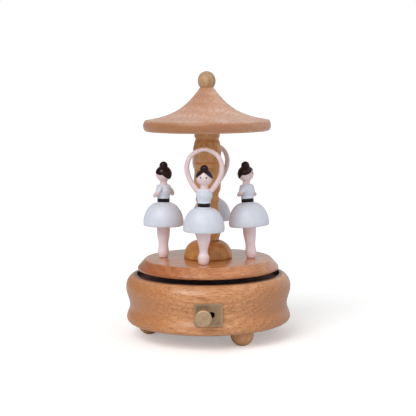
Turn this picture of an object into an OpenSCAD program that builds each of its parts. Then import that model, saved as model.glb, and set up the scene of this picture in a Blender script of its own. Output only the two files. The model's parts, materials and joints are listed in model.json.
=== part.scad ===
// Wooden music box carousel: four turned ballerinas on a turntable under a
// pagoda roof, over a round base that holds a spring driven movement.
// Millimetres, +Z up. The turntable axis is X = Y = 0, the feet stand on Z = 0
// and the front, with the start and stop knob, looks along -Y.

/* [Base] */
// Widest radius of the base ring, at its upper swelling
base_r = 57.6; // [55:0.2:64]
// Height of the base ring
base_h = 33.7; // [33:0.1:42]
// How far the waist of the base is drawn in
waist_in = 2.6; // [0:0.1:4]
// Thickness of the base ring's wall round the movement
wall = 12.1; // [11:0.1:12.4]
// Thickness of the bottom cover
cover_t = 3; // [2:0.1:4]
// Thickness of the deck board over the movement
deck_t = 3.5; // [2:0.1:5]
// Depth of the deck board below the lip of the base
deck_recess = 4.1; // [2:0.1:6]

/* [Feet] */
// Radius of a ball foot
foot_r = 7.9; // [6.5:0.1:9]
// Height of the base above the table
foot_h = 10.4; // [9.5:0.1:12]
// Distance of the feet's middles from the base's widest outline
foot_inset = 15.6; // [15:0.1:22]

/* [Turntable] */
// Radius of the turntable
table_r = 49.2; // [45:0.1:53]
// Thickness of the turntable
table_t = 7.6; // [7:0.1:12]
// Height of the chamfer round the turntable's top
table_chamfer = 5.5; // [3:0.1:6]
// Width of the chamfer round the turntable's top
chamfer_in = 5.1; // [3:0.1:7]
// Gap between the base's lip and the turntable
table_gap = 2.8; // [1:0.1:6]

/* [Column and roof] */
// Radius of the dome at the column's foot
dome_r = 16.9; // [12:0.1:18]
// Height of the dome at the column's foot
dome_h = 13; // [8:0.1:14]
// Length of the turned column
column_len = 75.8; // [70:0.2:90]
// Widest radius of the column
column_r = 9.9; // [8:0.1:12]
// Widest radius of the roof
roof_r = 44.2; // [40:0.1:56]
// Height of the roof with its neck
roof_h = 29.8; // [24:0.1:40]
// Thickness of the roof's rim
roof_rim = 8; // [6:0.1:11]
// Radius of the roof's neck under the finial
neck_r = 4.9; // [4:0.1:5.6]
// Radius of the finial
finial_r = 6.2; // [5.8:0.1:8]

/* [Ballerinas] */
// Distance of the ballerinas' middles from the turntable's edge
figure_inset = 18.7; // [16.5:0.1:19.5]
// Turn of the ring of ballerinas from straight ahead
ring_turn = -5; // [-45:1:45]
// Height of the legs from the turntable to the skirt
leg_h = 22.7; // [16:0.1:28]
// Widest radius of the legs, under the skirt
leg_r = 4.8; // [4:0.1:6]
// Radius of the slippers
slipper_r = 3.9; // [3.4:0.1:4.6]
// Radius of the flat under the slippers
sole_r = 2.3; // [1.8:0.1:3]
// Widest radius of a skirt
skirt_r = 14.1; // [11:0.1:14.4]
// Height of a skirt
skirt_h = 16.6; // [12:0.1:20]
// Radius of a bodice at the waist
waist_r = 4.3; // [3.9:0.1:4.8]
// Widest radius of a bodice
bust_r = 5.6; // [5:0.1:6.5]
// Height of a bodice from the sash to the shoulders
bodice_h = 9.7; // [8:0.1:12]
// Height of a sash
sash_h = 2.6; // [1.5:0.1:4]
// Radius of a head
head_r = 5.45; // [4.6:0.05:6.2]
// Radius of a bun of hair
bun_r = 2.95; // [2.2:0.05:3.6]
// Radius of an arm at the shoulder
arm_r = 1.8; // [1.3:0.05:2]

/* [Switch] */
// Width of the switch plate
plate_w = 18.8; // [17:0.1:24]
// Height of the switch plate
plate_h = 15.5; // [12:0.1:17]
// Thickness of the switch plate
plate_t = 3.2; // [2.5:0.1:3.6]
// Height of the knob's axis above the underside of the base
knob_z = 14.8; // [13:0.1:16]
// Sideways travel of the knob
knob_travel = 5.5; // [3:0.1:7]
// Sideways place of the middle of the knob's slot
slot_x = -0.7; // [-1.5:0.1:1.5]
// Radius of the knob's head
knob_r = 5.5; // [4:0.1:6.4]
// Radius of the knob's stem
stem_r = 2.05; // [1.5:0.05:2.4]
// How far the knob stands out from the plate
knob_out = 12; // [9:0.1:16]

/* [Movement] */
// Outer radius of the spring barrel
can_r = 10.8; // [10:0.1:11]
// Radius of the winding arbor
arbor_r = 2.5; // [2:0.1:2.6]
// Radial running clearance of a pivot in its hole
run_gap = 0.05; // [0.02:0.01:0.1]
// Teeth of the crown wheel on the barrel
crown_teeth = 48; // [40:4:52]
// Teeth of the pinion on the cylinder
pinion_teeth = 12; // [12:1:13]
// Radius of the music cylinder
drum_r = 6.5; // [6:0.1:6.6]
// Notes of the comb
notes = 18; // [12:1:18]
// Teeth of the wheel at the end of the cylinder
wheel_teeth = 36; // [34:1:36]
// Teeth of the worm wheel
worm_teeth = 20; // [20:1:20]
// Radius of the fly's wings
fly_r = 4; // [2.5:0.1:4.2]

/* [Hidden] */
FIGURES = ["front", "right", "back", "left"];
PIECES = ["legs", "skirt", "bodice", "head", "hair", "arms"];
BASE_NODES = [
    "base_ring", "deck_board", "bottom_cover", "cover_screws", "ball_feet", "switch_plate",
    "bedplate", "bedplate_screws", "comb", "comb_screws", "cylinder_bearings",
    "governor_frame", "clutch_spring"
];
CAROUSEL_NODES = [
    "spring_barrel", "mainspring", "spindle", "turntable_bush", "turntable", "column_foot",
    "column", "centre_dowel", "roof", "finial", "sashes"
];
MOVING_NODES = [
    "winding_arbor", "winding_key", "cylinder_drum", "cylinder_arbor", "cylinder_wheel",
    "second_arbor", "worm_wheel", "worm", "fly", "switch_knob", "stop_wire"
];

$fn = 64;

beech = "#c98f62";
pale_beech = "#d2a88c";
golden_beech = "#b17f48";
pale_wood = "#bfa57c";
old_brass = "#a98f72";
brass = "#c8a85a";
steel = "#b9bcc0";
zinc = "#9fa2a3";
skin = "#e8d5d8";
dress_white = "#dde1ec";
hair_black = "#1c1318";

glue_gap = 0.03;      // between pieces that are glued or pressed together
free_gap = 0.3;       // between pieces that pass each other

// heights of the wooden pieces
base_top = foot_h + base_h;
cover_top = foot_h + cover_t;
deck_top = base_top - deck_recess;
deck_z = deck_top - deck_t;
table_z = base_top + table_gap;
table_top = table_z + table_t;
column_z = table_top + dome_h;
roof_z = column_z + column_len;
roof_top = roof_z + roof_h;

// radii in the base and places on the turntable
bore_r = base_r - wall;
foot_ring_r = base_r - foot_inset;
ring_r = table_r - figure_inset;
lip_w = 0.5;                          // flat of the lip
recess_r = base_r - 7.2 - lip_w;      // recess that takes the deck board
cover_r = bore_r + 3.5;
cover_screw_r = (bore_r + cover_r) / 2;
foot_flat_r = 2.5;                    // worn flat under a ball foot
foot_peg_r = 2.5;
foot_angles = [32.6, 149, 265.4];

// the figures
figure_angles = [ring_turn - 0.9, ring_turn + 90, ring_turn + 180, ring_turn + 270];
figure_shift = [0, -0.25, 0, 1];       // outwards from the ring of figures
figure_facing = [ring_turn, ring_turn + 83, ring_turn + 180, ring_turn + 253];
figure_lean = [[0, 1], [3.4, 0], [0, 0], [0.8, 0]];    // degrees towards the column and sideways
ankle_r = [2.75, 3.4, 2.75, 3.4];
raised_arms = [true, false, true, false];
leg_peg_r = 1.6;
leg_peg_h = 4.5;
hip_peg_r = 2;
hip_peg_h = 5;
waist_peg_r = 2;
waist_peg_h = 6;
neck_peg_r = 1.4;
neck_peg_h = 3;
sash_t = 0.55;
piping_h = 0.6;
skirt_z = leg_h;
waist_z = skirt_z + skirt_h;
bodice_z = waist_z + sash_h;
shoulder_z = bodice_z + bodice_h;
head_z = shoulder_z + 7.2;
throat_r = 2.7;
hair_t = 0.4;
hair_low = 60;        // how far below the head's middle the shell of hair could reach, in degrees
hair_slope = 41.7;    // of the hairline, from the forehead down to the nape
hair_parting = 38;    // of the hairline, from the parting down to the temples
parting_z = 4.2;      // of the parting over the head's middle
bun_rise = 0.35;      // of the bun's centre over the crown of the head

// the arms' centre lines: sideways, forwards and up from the shoulders' top
shoulder_in = [2.6, 0, -3.1];
raised_half = [
    shoulder_in, [4.9, 0, -1.4], [8.1, 0, 3], [11, 0, 8.8], [11.9, 0, 14.8],
    [10.4, 0, 20], [7.2, 0, 23.6], [3, 0, 25.7], [0, 0, 26.2]
];
forward_arm = [
    [2.2, 0, -1.75], [4.7, 0.1, -2.4], [6.6, 0.7, -4.5], [6.5, 2.3, -6.1], [5.2, 4, -7.4], [3.9, 5.2, -8.2]
];
backward_arm = [
    [-2.2, 0, -1.75], [-4.7, -0.3, -2.2], [-6.5, -1.6, -3.7], [-6.2, -3.4, -5.2],
    [-4.6, -4.7, -6.4], [-2.9, -5.4, -7.2]
];
raised_side = [0, 1, 0];
bent_side = [0.2, 0.4, 1];
socket_back = 0.1;    // room behind the end of an arm in its socket

// the movement: heights and places, from the bottom cover up
bed_t = 2.2;
bed_top = cover_top + bed_t;
flange_z = bed_top + 2;
flange_t = 1.5;
crown_out = 13.4;
crown_in = 12.2;
flange_r = crown_out + 0.2;
crown_mid = (crown_in + crown_out) / 2;
pinion_pitch_r = crown_mid * pinion_teeth / crown_teeth;
crown_add = 0.45;
crown_line = flange_z + flange_t + 1.3;
shaft_z = crown_line + pinion_pitch_r;
crown_tip_z = crown_line + crown_add;
crown_root_z = crown_line - crown_add - 0.35;
can_z = flange_z + flange_t;
can_top = deck_z - 5.5;
can_wall = 0.8;
pivot_r = 1;
shaft_r = 1.5;
bearing_t = 1.6;
pinion_x = crown_in - 0.1;
pinion_w = crown_out - crown_in + 0.2;
bearing_1_w = 7;
bearing_2_w = 5;
bearing_1_x = flange_r + 0.6;
drum_x = bearing_1_x + bearing_t + 0.5;
wheel_x = bore_r - 10.7;
drum_len = wheel_x - 0.5 - drum_x;
drum_margin = 0.9;
note_pitch = (drum_len - drum_margin) / notes;
wheel_w = 1.2;
bearing_2_x = wheel_x + wheel_w + 0.5;
gear_module = 0.35;
second_teeth = 12;
second_y = gear_module * (wheel_teeth + second_teeth) / 2;
worm_wheel_w = 1.2;
worm_wheel_x = wheel_x + wheel_w + 1.3;
second_pivot_r = 0.7;
second_bearing_1_x = wheel_x - 2.3;
second_bearing_2_x = worm_wheel_x + worm_wheel_w + 1.5;
second_bearing_t = 1.2;
worm_x = worm_wheel_x + worm_wheel_w / 2;
worm_pitch_r = 1.5;
worm_y = second_y + gear_module * worm_teeth / 2 + worm_pitch_r;
worm_lead = PI * gear_module;
worm_len = 4 * worm_lead;
worm_root_r = worm_pitch_r - 0.42;
worm_tip_r = worm_pitch_r + 0.3;
worm_shaft_r = 0.6;
cock_t = 1.2;
cock_z = deck_z - 0.8 - cock_t;
fly_z = shaft_z + worm_len / 2 + 2.4;
fly_h = cock_z - 0.7 - fly_z;
pillar_at = [worm_x - 4.9, worm_y + 3.1];
pillar_r = 1.2;
pin_r = 0.2;
pin_h = 0.42;
comb_t = 1;
comb_tip_y = -(drum_r + pin_h + 0.15);
tooth_len = 9;
spine_w = 5.4;
comb_root_y = comb_tip_y - tooth_len;
comb_back_y = comb_root_y - spine_w;
comb_edge = 0.7;
comb_x = drum_x + drum_margin / 2 - comb_edge / 2;
comb_w = notes * note_pitch + comb_edge;
comb_kerf = 0.25;
comb_screw_r = 1;
spindle_r = 2;
spindle_flange_r = 5.5;
spindle_flange_t = 1.2;
bush_r = 4;
bush_flange_r = 8;
bush_flange_t = 1.2;
bush_h = 3;
dowel_r = 4;
dowel_sink = table_t - bush_h - 0.6;
dowel_rise = 7.5;
knob_axis_z = foot_h + knob_z;
plate_y = -(base_r - 0.3);
collar_t = 1.2;
collar_r = 3.6;
stem_end_y = free_gap + collar_t - sqrt(pow(bore_r, 2) - pow(abs(slot_x) + knob_travel / 2 + collar_r, 2));
knob_x = slot_x - knob_travel / 2;

// stop wire: from the end of the knob's stem over the movement to the fly
wire_r = 0.5;
wire_z = deck_z - 1.5;
wire_end_z = fly_z + fly_h / 2;
stop_x = worm_x - fly_r - free_gap - knob_travel;
wire_start = [knob_x, stem_end_y, knob_axis_z];
wire_path = [
    [knob_x, stem_end_y + 1.2, knob_axis_z], [knob_x + 1.2, stem_end_y + 6, wire_z - 2],
    [knob_x + 6, stem_end_y + 11.5, wire_z], [stop_x - 16, -18, wire_z], [stop_x - 9, -4, wire_z],
    [stop_x - 6, 8, wire_z], [stop_x - 5, worm_y - 1, wire_z - 1.4],
    [stop_x - 3.7, worm_y, wire_end_z + 0.4], [stop_x - 2.1, worm_y, wire_end_z], [stop_x, worm_y, wire_end_z]
];

// ---- curves ----

// points of an elliptical arc, as [r, z]
function arc(c, rx, rz, a0, a1, n = 10) =
    [for (i = [0:n]) let (a = a0 + (a1 - a0) * i / n) [c[0] + rx * cos(a), c[1] + rz * sin(a)]];

// turning stations joined by swellings and hollows: each station is [r, z]
function turned(stations, n = 6) =
    [for (s = [0:len(stations) - 2]) for (i = [0:n - 1])
        let (t = i / n, p = stations[s], q = stations[s + 1], e = (1 - cos(180 * t)) / 2)
        [p[0] + (q[0] - p[0]) * e, p[1] + (q[1] - p[1]) * t]];

// cubic curve between two points with two handles
function bezier(p, n = 16) =
    [for (i = [0:n]) let (t = i / n, u = 1 - t)
        u * u * u * p[0] + 3 * u * u * t * p[1] + 3 * u * t * t * p[2] + t * t * t * p[3]];

// smooth line through points
function spline_at(p, i, t) =
    let (a = p[max(i - 1, 0)], b = p[i], c = p[i + 1], d = p[min(i + 2, len(p) - 1)])
    0.5 * (2 * b + (c - a) * t + (2 * a - 5 * b + 4 * c - d) * t * t + (3 * b - a - 3 * c + d) * t * t * t);
function spline(p, n) =
    concat([for (i = [0:len(p) - 2]) for (k = [0:n - 1]) spline_at(p, i, k / n)], [p[len(p) - 1]]);

function unit(v) = v / norm(v);

function heading(path, i) = unit(path[min(i + 1, len(path) - 1)] - path[max(i - 1, 0)]);

// directions square to the path that turn as little as they can from ring to ring
function carried(path, u, i = 0) =
    i == len(path) ? [] : let (t = heading(path, i), v = unit(u - (u * t) * t)) concat([v], carried(path, v, i + 1));

// round bar swept along a path; side is a direction that its first stretch doesn't take
module swept_bar(path, radii, side, sides = 10) {
    last = len(path) - 1;
    across = carried(path, side);
    rings = [for (i = [0:last])
        let (u = across[i], v = cross(heading(path, i), u))
        for (k = [0:sides - 1]) path[i] + radii[i] * (u * cos(360 * k / sides) + v * sin(360 * k / sides))];
    walls = [for (i = [0:last - 1]) for (k = [0:sides - 1])
        let (a = i * sides + k, b = i * sides + (k + 1) % sides)
        each [[a, a + sides, b + sides], [a, b + sides, b]]];
    start = [for (k = [0:sides - 1]) k];
    end = [for (k = [sides - 1:-1:0]) last * sides + k];
    polyhedron(points = rings, faces = concat([start, end], walls), convexity = 4);
}

// ---- shared shapes ----

module ring(outer, inner, h) {
    difference() {
        cylinder(r = outer, h = h);
        translate([0, 0, -1]) cylinder(r = inner, h = h + 2);
    }
}

module rounded_rect(w, h, r) {
    difference() {
        square([w, h], center = true);
        for (x = [-1, 1], y = [-1, 1])
            translate([x * (w / 2 - r), y * (h / 2 - r)]) difference() {
                translate([x > 0 ? 0 : -r - 1, y > 0 ? 0 : -r - 1]) square(r + 1);
                circle(r = r);
            }
    }
}

// wheel with trapezoid teeth; wide and narrow are the tooth's width at the pitch circle and its tip
module spur(teeth, pitch_r, add, ded, wide, narrow, w) {
    foot_w = wide * 1.25;
    linear_extrude(height = w) union() {
        circle(r = pitch_r - ded);
        for (i = [0:teeth - 1]) rotate(360 * i / teeth)
            polygon([
                [pitch_r - ded - 0.3, -foot_w / 2], [pitch_r, -wide / 2], [pitch_r + add, -narrow / 2],
                [pitch_r + add, narrow / 2], [pitch_r, wide / 2], [pitch_r - ded - 0.3, foot_w / 2]
            ]);
    }
}

// lays a piece drawn along Z onto the X axis, its start at x
module along_x(x, y = 0) {
    translate([x, y, shaft_z]) rotate([90, 0, 90]) children();
}

module at_angle(a, r) {
    rotate([0, 0, a - 90]) translate([r, 0, 0]) children();
}

// ---- base ----

function base_profile() = concat(
    arc([base_r - 4.7, foot_h + 3.5], 4.4, 3.5, -90, 0, 8),
    turned([
        [base_r - 0.3, foot_h + 3.5], [base_r - waist_in, foot_h + base_h * 0.365],
        [base_r, foot_h + base_h - 8.9]
    ], 8),
    arc([base_r - 7.2, base_top - 8.9], 7.2, 8.9, 0, 90, 12)
);

module base_ring() {
    color(beech) difference() {
        rotate_extrude($fn = 96) polygon(concat([[1, foot_h]], base_profile(), [[1, base_top]]));
        translate([0, 0, deck_z]) cylinder(r = recess_r, h = base_h);
        translate([0, 0, cover_top - 1]) cylinder(r = bore_r, h = base_h);
        translate([0, 0, foot_h - 1]) cylinder(r = cover_r, h = cover_t + 1);
        for (a = foot_angles) at_angle(a + 60, cover_screw_r)
            translate([0, 0, cover_top - 1]) cylinder(r = 0.8, h = 9, $fn = 24);
        translate([0, plate_y + plate_t, knob_axis_z]) rotate([90, 0, 0])
            linear_extrude(height = 20) rounded_rect(plate_w + 2 * glue_gap, plate_h + 2 * glue_gap, 1.5);
        stem_slot(stem_r + 0.5, 0, 30);
    }
}

// slot for the knob's stem, along Y between two distances from the front face of the plate
module stem_slot(r, from, to) {
    translate([slot_x, plate_y + to, knob_axis_z]) rotate([90, 0, 0])
        linear_extrude(height = to - from) union() {
            square([knob_travel, 2 * r], center = true);
            for (x = [-1, 1]) translate([x * knob_travel / 2, 0]) circle(r = r);
        }
}

module deck_board() {
    color(beech) translate([0, 0, deck_z]) ring(recess_r - glue_gap, spindle_r + 3, deck_t);
}

module bottom_cover() {
    color(pale_beech) difference() {
        translate([0, 0, foot_h]) cylinder(r = cover_r - glue_gap, h = cover_t);
        translate([0, 0, foot_h - 1]) cylinder(r = arbor_r + 2, h = cover_t + 2);
        for (a = foot_angles) {
            at_angle(a, foot_ring_r) translate([0, 0, foot_h - 1])
                cylinder(r = foot_peg_r + glue_gap, h = cover_t + 2);
            at_angle(a + 60, cover_screw_r) translate([0, 0, foot_h - 1])
                cylinder(r = 0.8, h = cover_t + 2, $fn = 24);
        }
        for (p = bed_screws) translate([p[0], p[1], foot_h - 1]) cylinder(r = 1.4, h = cover_t + 2, $fn = 24);
    }
}

// pan head screw pointing up, its head below z = 0
module screw_up(head_r, head_h, shank_r, len) {
    difference() {
        union() {
            translate([0, 0, -head_h]) cylinder(r1 = head_r * 0.75, r2 = head_r, h = head_h);
            translate([0, 0, -0.01]) cylinder(r = shank_r, h = len + 0.01);
        }
        for (a = [0, 90]) rotate(a) translate([-head_r * 0.6, -0.2, -head_h - 1])
            cube([head_r * 1.2, 0.4, 1 + head_h * 0.5]);
    }
}

module cover_screws() {
    color(steel) for (a = foot_angles) at_angle(a + 60, cover_screw_r) translate([0, 0, foot_h])
        screw_up(1.9, 1.1, 0.75, cover_t + 7, $fn = 32);
}

module ball_feet() {
    ball_z = sqrt(pow(foot_r, 2) - pow(foot_flat_r, 2));
    color(pale_wood) for (a = foot_angles) at_angle(a, foot_ring_r) union() {
        intersection() {
            translate([0, 0, ball_z]) sphere(r = foot_r);
            cylinder(r = foot_r + 1, h = foot_h);
        }
        translate([0, 0, foot_h - 0.01]) cylinder(r = foot_peg_r, h = cover_t - 0.2);
    }
}

// ---- switch ----

module switch_plate() {
    color(old_brass) difference() {
        union() {
            translate([0, plate_y + plate_t, knob_axis_z]) rotate([90, 0, 0])
                linear_extrude(height = plate_t - 0.3) rounded_rect(plate_w, plate_h, 1.5);
            translate([0, plate_y + 0.3 + 0.01, knob_axis_z]) rotate([90, 0, 0])
                linear_extrude(height = 0.3 + 0.01) difference() {
                    rounded_rect(plate_w - 0.4, plate_h - 0.4, 1.3);
                    rounded_rect(plate_w - 3, plate_h - 3, 1);
                }
        }
        stem_slot(stem_r + 0.15, -1, plate_t + 1);
    }
}

module switch_knob() {
    head_t = 4.4;
    head_y = plate_y - knob_out;
    color(old_brass) translate([knob_x, head_y, knob_axis_z]) rotate([-90, 0, 0]) {
        rotate_extrude() polygon(concat(
            [[0, 0]],
            arc([knob_r - 1.1, 1.3], 1.1, 1.1, -90, 0, 6),
            arc([knob_r - 0.6, head_t - 0.6], 0.6, 0.6, 0, 90, 4),
            arc([stem_r + 0.8, head_t + 0.8], 0.8, 0.8, 270, 180, 4),
            [
                [stem_r, stem_end_y - collar_t - head_y], [collar_r, stem_end_y - collar_t - head_y],
                [collar_r, stem_end_y - head_y], [0, stem_end_y - head_y]
            ]
        ));
    }
}

module stop_wire() {
    path = concat([wire_start], spline(wire_path, 4));
    color(steel) swept_bar(path, [for (p = path) wire_r], [0.9, -0.1, -0.43], 8);
}

// ---- movement frame ----

bed_left = -17;
bed_right = worm_x + 3.4;
bed_front = comb_back_y - 1;
bed_back = pillar_at[1] + pillar_r + 0.5;
bed_corner = 8;
bed_screws = [[-12, -15], [-12, 13], [bed_right - 11.3, -19.5]];

module bedplate() {
    rail_z = shaft_z - comb_t / 2;
    color(zinc) difference() {
        union() {
            translate([(bed_left + bed_right) / 2, (bed_front + bed_back) / 2, cover_top])
                linear_extrude(height = bed_t)
                    rounded_rect(bed_right - bed_left, bed_back - bed_front, bed_corner);
            translate([comb_x, comb_back_y, bed_top - 0.01])
                cube([comb_w, comb_root_y - comb_back_y - 0.6, rail_z - bed_top + 0.01]);
        }
        translate([0, 0, cover_top - 1]) cylinder(r = arbor_r + run_gap, h = bed_t + 2);
        translate([worm_x, worm_y, bed_top - 1.4]) cylinder(r = worm_shaft_r + run_gap, h = 3, $fn = 32);
        for (p = bed_screws) translate([p[0], p[1], cover_top - 1])
            cylinder(r = 1.25, h = p[1] < comb_root_y ? bed_t + 4 : bed_t + 2, $fn = 24);
        for (x = comb_screw_x) translate([x, comb_screw_y, rail_z - 4])
            cylinder(r = comb_screw_r + glue_gap, h = 5, $fn = 24);
    }
}

module bedplate_screws() {
    color(steel) for (p = bed_screws) translate([p[0], p[1], foot_h])
        screw_up(2.6, 1.5, 1.2, cover_t + bed_t - 0.3, $fn = 32);
}

comb_screw_x = [for (i = [0:2]) comb_x + comb_w * (0.16 + 0.34 * i)];
comb_screw_y = comb_back_y + 2.3;

// steel comb: the teeth get shorter from the low notes to the high ones
module comb() {
    color(steel) difference() {
        translate([comb_x, comb_back_y, shaft_z - comb_t / 2])
            cube([comb_w, comb_tip_y - comb_back_y, comb_t]);
        for (i = [0:notes]) {
            cut = 8.6 - 3.2 * i / notes;
            translate([comb_x + comb_edge / 2 + i * note_pitch - comb_kerf / 2, comb_tip_y - cut, shaft_z - comb_t])
                cube([comb_kerf, cut + 1, 2 * comb_t]);
        }
        for (x = comb_screw_x) translate([x, comb_screw_y, shaft_z - comb_t])
            cylinder(r = comb_screw_r + glue_gap, h = 2 * comb_t, $fn = 24);
    }
}

module comb_screws() {
    color(brass) for (x = comb_screw_x) translate([x, comb_screw_y, shaft_z + comb_t / 2])
        rotate([180, 0, 0]) screw_up(1.9, 1.2, comb_screw_r, comb_t + 3.6, $fn = 32);
}

// upright with a rounded top and a hole for a pivot, its near face at x
module bearing(x, hole_r, w) {
    difference() {
        union() {
            translate([x, -w / 2, bed_top]) cube([bearing_t, w, shaft_z - bed_top]);
            along_x(x) cylinder(r = w / 2, h = bearing_t);
        }
        along_x(x - 1) cylinder(r = hole_r, h = bearing_t + 2, $fn = 32);
    }
}

module cylinder_bearings() {
    color(brass) {
        bearing(bearing_1_x, pivot_r + run_gap, bearing_1_w);
        bearing(bearing_2_x, pivot_r + run_gap, bearing_2_w);
    }
}

module governor_frame() {
    color(brass) {
        difference() {
            union() {
                translate([second_bearing_1_x, drum_r + pin_h + 0.35, bed_top])
                    cube([second_bearing_t, 4.4, shaft_z + 1.8 - bed_top]);
                translate([second_bearing_2_x, second_y - 2, bed_top])
                    cube([second_bearing_t, 4, shaft_z + 1.8 - bed_top]);
            }
            along_x(second_bearing_1_x - 1, second_y)
                cylinder(r = second_pivot_r + run_gap, h = second_bearing_2_x - second_bearing_1_x + 3, $fn = 32);
        }
        difference() {
            union() {
                translate([pillar_at[0], pillar_at[1], bed_top]) cylinder(r = pillar_r, h = cock_z + cock_t - bed_top);
                translate([pillar_at[0], pillar_at[1], cock_z])
                    rotate([0, 0, atan2(worm_y - pillar_at[1], worm_x - pillar_at[0])])
                        translate([0, -pillar_r, 0]) cube([norm([worm_x, worm_y] - pillar_at), 2 * pillar_r, cock_t]);
                translate([worm_x, worm_y, cock_z]) cylinder(r = 1.7, h = cock_t);
            }
            translate([worm_x, worm_y, cock_z - 1]) cylinder(r = worm_shaft_r + run_gap, h = cock_t + 2, $fn = 32);
        }
    }
}

// spring wire wound round the arbor, so that the key turns one way only
module clutch_spring() {
    turns = 3;
    coil_r = arbor_r + 0.2 + 0.25;
    steps = turns * 18;
    coil = [for (i = [0:steps]) let (a = 20 * i)
        [coil_r * cos(a), coil_r * sin(a), bed_top + 0.25 + 1.3 * i / steps]];
    tail = [[coil_r + 0.3, 1.2, bed_top + 1.55], [coil_r + 0.5, 3, bed_top + 1.5], [coil_r + 0.6, 5, bed_top + 0.9]];
    path = concat(coil, tail);
    color(steel) {
        swept_bar(path, [for (p = path) 0.22], [0, 0, 1], 6);
        translate([coil_r + 0.6, 5, bed_top]) cylinder(r = 0.8, h = 1.6, $fn = 24);
    }
}

// ---- spring barrel, on the turntable's axis ----

module spring_barrel() {
    color(brass) difference() {
        union() {
            translate([0, 0, flange_z]) cylinder(r = flange_r, h = crown_root_z - flange_z);
            translate([0, 0, can_z - 0.01]) cylinder(r = can_r, h = can_top - can_z + 0.01);
            translate([0, 0, crown_root_z - 0.01]) linear_extrude(height = crown_tip_z - crown_root_z + 0.01)
                for (i = [0:crown_teeth - 1]) rotate(360 * (i + 0.5) / crown_teeth)
                    polygon([
                        [crown_in, -0.26 * crown_in / crown_mid], [crown_out, -0.26 * crown_out / crown_mid],
                        [crown_out, 0.26 * crown_out / crown_mid], [crown_in, 0.26 * crown_in / crown_mid]
                    ]);
        }
        translate([0, 0, can_z + can_wall])
            cylinder(r = can_r - can_wall, h = can_top - can_z - 2 * can_wall);
        translate([0, 0, flange_z - 1]) cylinder(r = arbor_r + run_gap, h = can_wall + flange_t + 2);
    }
}

// flat spring coiled inside the barrel
module mainspring() {
    turns = 6;
    steps = turns * 20;
    inner = arbor_r + 0.5;
    outer = can_r - can_wall - 0.45;
    strip = 0.35;
    function spiral(i) = let (r = inner + (outer - inner) * i / steps, a = 18 * i) [r * cos(a), r * sin(a)];
    function spiral_out(i) = let (r = inner + strip + (outer - inner) * i / steps, a = 18 * i) [r * cos(a), r * sin(a)];
    color(steel) translate([0, 0, can_z + can_wall + 0.4])
        linear_extrude(height = can_top - can_z - 2 * can_wall - 0.8)
            polygon(concat([for (i = [0:steps]) spiral(i)], [for (i = [steps:-1:0]) spiral_out(i)]));
}

module spindle() {
    color(steel) union() {
        translate([0, 0, can_top]) cylinder(r = spindle_flange_r, h = spindle_flange_t);
        translate([0, 0, can_top]) cylinder(r = spindle_r, h = table_z + bush_h - can_top);
    }
}

module winding_arbor() {
    color(steel) translate([0, 0, foot_h - 0.6])
        cylinder(r = arbor_r, h = can_top - can_wall - 1 - foot_h);
}

module winding_key() {
    hub_h = 5.5;
    wing_z = foot_h - 8;
    color(steel) difference() {
        union() {
            translate([0, 0, foot_h - 0.6 - hub_h]) cylinder(r = arbor_r + 1.6, h = hub_h + 0.3);
            translate([0, 0, wing_z + 2.9]) rotate([90, 0, 0]) linear_extrude(height = 2.4, center = true) union() {
                square([16, 5.8], center = true);
                for (x = [-8, 8]) translate([x, 0]) circle(r = 2.9);
            }
        }
        translate([0, 0, foot_h - 0.6]) cylinder(r = arbor_r + glue_gap, h = 2);
    }
}

// ---- cylinder train ----

module cylinder_drum() {
    color(brass) along_x(drum_x) difference() {
        union() {
            cylinder(r = drum_r, h = drum_len);
            for (n = [0:notes - 1]) for (k = [0:2])
                translate([0, 0, drum_margin + n * note_pitch]) rotate([0, 0, 205 + (n * 47 + k * 113) % 310])
                    rotate([0, 90, 0]) cylinder(r = pin_r, h = drum_r + pin_h, $fn = 8);
        }
        translate([0, 0, -1]) cylinder(r = shaft_r + glue_gap, h = drum_len + 2);
    }
}

module cylinder_arbor() {
    color(steel) {
        along_x(pinion_x) rotate(-90) spur(pinion_teeth, pinion_pitch_r, crown_add, 0.62, 0.52, 0.3, pinion_w);
        along_x(pinion_x - 0.4) cylinder(r = pivot_r, h = bearing_2_x + bearing_t + 0.3 - pinion_x + 0.4);
        along_x(bearing_1_x + bearing_t + 0.2) cylinder(r = shaft_r, h = bearing_2_x - bearing_1_x - bearing_t - 0.4);
    }
}

module cylinder_wheel() {
    color(brass) along_x(wheel_x) difference() {
        spur(wheel_teeth, gear_module * wheel_teeth / 2, 0.3, 0.42, 0.42, 0.22, wheel_w);
        translate([0, 0, -1]) cylinder(r = shaft_r + glue_gap, h = wheel_w + 2);
    }
}

module second_arbor() {
    pinion_r = gear_module * second_teeth / 2;
    color(steel) {
        along_x(wheel_x, second_y) rotate(180 / second_teeth)
            spur(second_teeth, pinion_r, 0.3, 0.42, 0.42, 0.22, wheel_w);
        along_x(second_bearing_1_x - 0.3, second_y)
            cylinder(r = second_pivot_r, h = second_bearing_2_x + second_bearing_t - second_bearing_1_x + 0.6, $fn = 32);
    }
}

module worm_wheel() {
    color(brass) along_x(worm_wheel_x, second_y) difference() {
        spur(worm_teeth, gear_module * worm_teeth / 2, 0.28, 0.4, 0.4, 0.2, worm_wheel_w);
        translate([0, 0, -1]) cylinder(r = second_pivot_r + glue_gap, h = worm_wheel_w + 2, $fn = 32);
    }
}

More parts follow.
